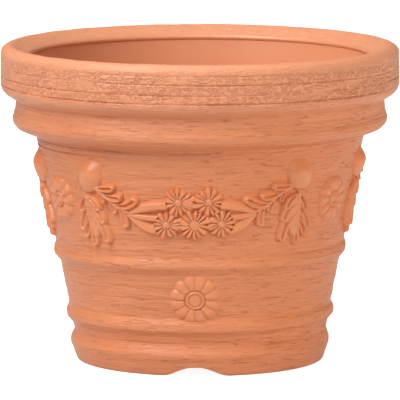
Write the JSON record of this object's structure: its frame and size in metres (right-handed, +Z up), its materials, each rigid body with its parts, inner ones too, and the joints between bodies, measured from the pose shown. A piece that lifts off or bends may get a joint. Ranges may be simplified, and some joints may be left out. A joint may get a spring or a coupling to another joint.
{
  "type": "flower pot",
  "caption": "Round terracotta-coloured plastic garden pot with a broad hollow rim, rolled shoulder, hoops, moulded flower garlands, notched foot and a lift-out drain grate.",
  "frame": {"origin": "centre of the ring that the pot stands on, at ground level", "axes": "+Z up along the pot's axis, -Y towards the front, where a garland hangs over a medallion and a notch in the foot"},
  "size_m": [0.38, 0.38, 0.302],
  "materials": {
    "terracotta_plastic": "satin matte moulded plastic, brushed and pitted outside, smooth and glossier inside",
    "grate_plastic": "fine-grained matte moulded plastic"
  },
  "bodies": {
    "pot": {"pot_shell": "terracotta_plastic"},
    "grate": {"drain_grate": "grate_plastic"}
  },
  "joints": [
    {"name": "grate_lift", "type": "slide", "parent": "pot", "child": "grate", "axis": [0, 0, 1], "range_m": [0, 0.32]}
  ]
}
